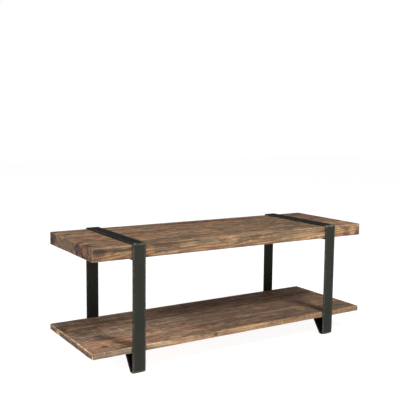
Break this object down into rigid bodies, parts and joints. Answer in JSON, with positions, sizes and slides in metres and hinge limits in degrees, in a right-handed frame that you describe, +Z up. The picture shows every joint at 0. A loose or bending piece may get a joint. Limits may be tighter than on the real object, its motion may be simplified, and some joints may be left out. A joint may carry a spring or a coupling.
{
  "type": "entryway bench",
  "caption": "Long low bench: thick plank seat over a thin plank shelf, both held in closed loops of flat black steel strap with short slanted feet.",
  "frame": {"origin": "centre of the footprint, on the floor", "axes": "+X along the bench's length, -Y towards the front, +Z up"},
  "size_m": [1.226, 0.4166, 0.4623],
  "materials": {
    "seat_wood": "oiled reclaimed fir",
    "shelf_wood": "oiled reclaimed fir, greyer",
    "black_steel": "satin black",
    "screw_steel": "blackened",
    "glide_plastic": "matte"
  },
  "bodies": {
    "root": {"seat_plank_1": "seat_wood", "seat_plank_2": "seat_wood", "seat_plank_3": "seat_wood", "seat_plank_4": "seat_wood", "shelf_plank_1": "shelf_wood", "shelf_plank_2": "shelf_wood", "shelf_plank_3": "shelf_wood", "shelf_plank_4": "shelf_wood", "strap_loop_left": "black_steel", "strap_loop_right": "black_steel", "seat_rail_left": "black_steel", "seat_rail_right": "black_steel", "glide_front_left": "glide_plastic", "glide_back_left": "glide_plastic", "glide_front_right": "glide_plastic", "glide_back_right": "glide_plastic", "seat_screw_left_1": "screw_steel", "seat_screw_left_2": "screw_steel", "seat_screw_left_3": "screw_steel", "seat_screw_left_4": "screw_steel", "seat_screw_right_1": "screw_steel", "seat_screw_right_2": "screw_steel", "seat_screw_right_3": "screw_steel", "seat_screw_right_4": "screw_steel", "shelf_screw_left_1": "screw_steel", "shelf_screw_left_2": "screw_steel", "shelf_screw_left_3": "screw_steel", "shelf_screw_left_4": "screw_steel", "shelf_screw_right_1": "screw_steel", "shelf_screw_right_2": "screw_steel", "shelf_screw_right_3": "screw_steel", "shelf_screw_right_4": "screw_steel"}
  },
  "joints": []
}
